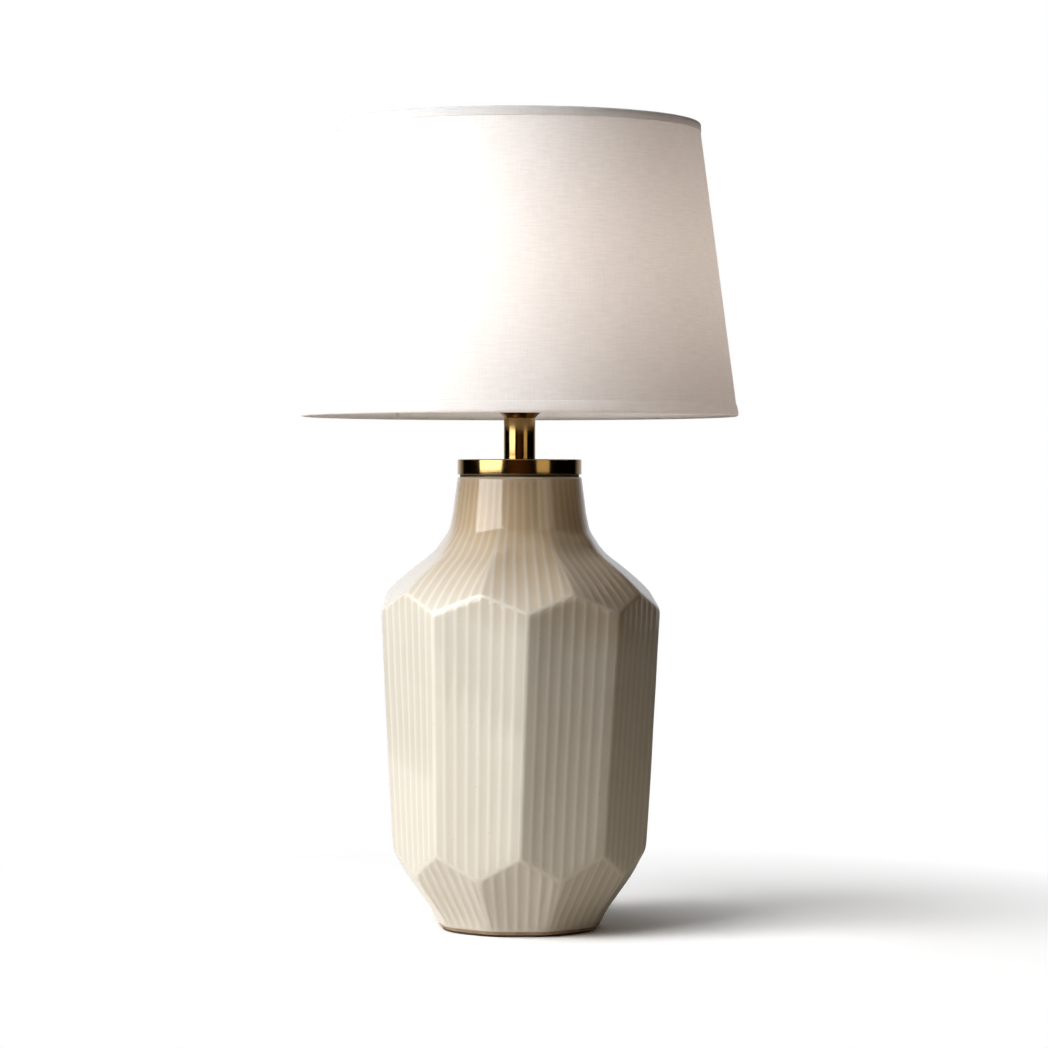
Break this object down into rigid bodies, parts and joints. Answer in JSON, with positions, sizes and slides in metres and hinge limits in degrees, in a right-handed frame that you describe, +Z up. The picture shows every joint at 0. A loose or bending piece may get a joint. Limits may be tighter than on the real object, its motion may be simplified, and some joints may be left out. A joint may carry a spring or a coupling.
{
  "type": "table lamp with shade",
  "caption": "Table lamp: faceted, fluted, glazed ceramic vase base, brass cap and neck, screw lampholder with rotary switch, opal bulb and tapered linen drum shade on a wire spider.",
  "frame": {"origin": "centre of the felt pad's underside, on the table", "axes": "+Z up the lamp's axis, -Y towards the front, +Y towards the mains inlet, +X towards the switch knob"},
  "size_m": [0.3315, 0.3316, 0.61],
  "materials": {
    "glazed_ceramic": "glossy cream to sand reactive glaze",
    "black_rubber": "matt",
    "felt": "felt",
    "zinc_steel": "zinc plated",
    "black_plastic": "matt",
    "antique_brass": "satin, lightly aged",
    "dark_brass": "dark bronzed",
    "plain_brass": "bright",
    "phenolic": "moulded, semi-gloss",
    "porcelain": "unglazed white",
    "white_wire": "white powder coat",
    "white_styrene": "matt white sheet",
    "linen": "off-white slub linen",
    "solder": "dull",
    "black_glass": "glossy",
    "nickel_cap": "nickel plated",
    "white_plastic": "satin white",
    "led_board": "white solder mask",
    "opal": "opal diffuser"
  },
  "bodies": {
    "base": {"vase_body": "glazed_ceramic", "cord_grommet": "black_rubber", "felt_pad": "felt", "rubber_gasket": "black_rubber", "base_plate": "zinc_steel", "lock_washer": "zinc_steel", "hex_nut": "zinc_steel", "lamp_pipe": "zinc_steel", "neck_bung": "black_plastic", "neck_cap": "antique_brass", "neck_tube": "antique_brass", "tube_seat_rings": "zinc_steel", "socket_cup": "dark_brass", "holder_base": "phenolic", "holder_skirt": "phenolic", "terminal_block": "porcelain", "terminal_screws": "zinc_steel", "screw_shell": "plain_brass", "centre_contact": "plain_brass", "switch_block": "phenolic"},
    "switch": {"switch_shaft": "plain_brass", "switch_knob": "phenolic"},
    "ring": {"shade_ring": "phenolic"},
    "shade": {"shade_spider": "white_wire", "bottom_wire": "white_wire", "top_wire": "white_wire", "shade_liner": "white_styrene", "shade_fabric": "linen", "bottom_hem": "linen", "top_hem": "linen"},
    "bulb_screw": {"bulb_tip": "solder"},
    "bulb": {"bulb_insulator": "black_glass", "bulb_cap": "nickel_cap", "bulb_housing": "white_plastic", "bulb_led_board": "led_board", "bulb_dome": "opal"}
  },
  "joints": [
    {"name": "shade_swivel", "type": "hinge", "parent": "base", "child": "shade", "pos_m": [0, 0, 0.4263], "axis": [0, 0, 1], "continuous": true},
    {"name": "switch_turn", "type": "hinge", "parent": "base", "child": "switch", "pos_m": [0, 0, 0.4015], "axis": [1, 0, 0], "continuous": true},
    {"name": "ring_turn", "type": "hinge", "parent": "base", "child": "ring", "pos_m": [0, 0, 0.432], "axis": [0, 0, 1], "range_deg": [0, 1080]},
    {"name": "bulb_rise", "type": "slide", "parent": "base", "child": "bulb_screw", "axis": [0, 0, 1], "range_m": [0, 0.0182]},
    {"name": "bulb_turn", "type": "hinge", "parent": "bulb_screw", "child": "bulb", "pos_m": [0, 0, 0.43], "axis": [0, 0, 1], "range_deg": [0, 1800]}
  ],
  "couplings": [
    {"joint": "bulb_rise", "follows": "bulb_turn", "m_per_rad": 0.0005776}
  ]
}
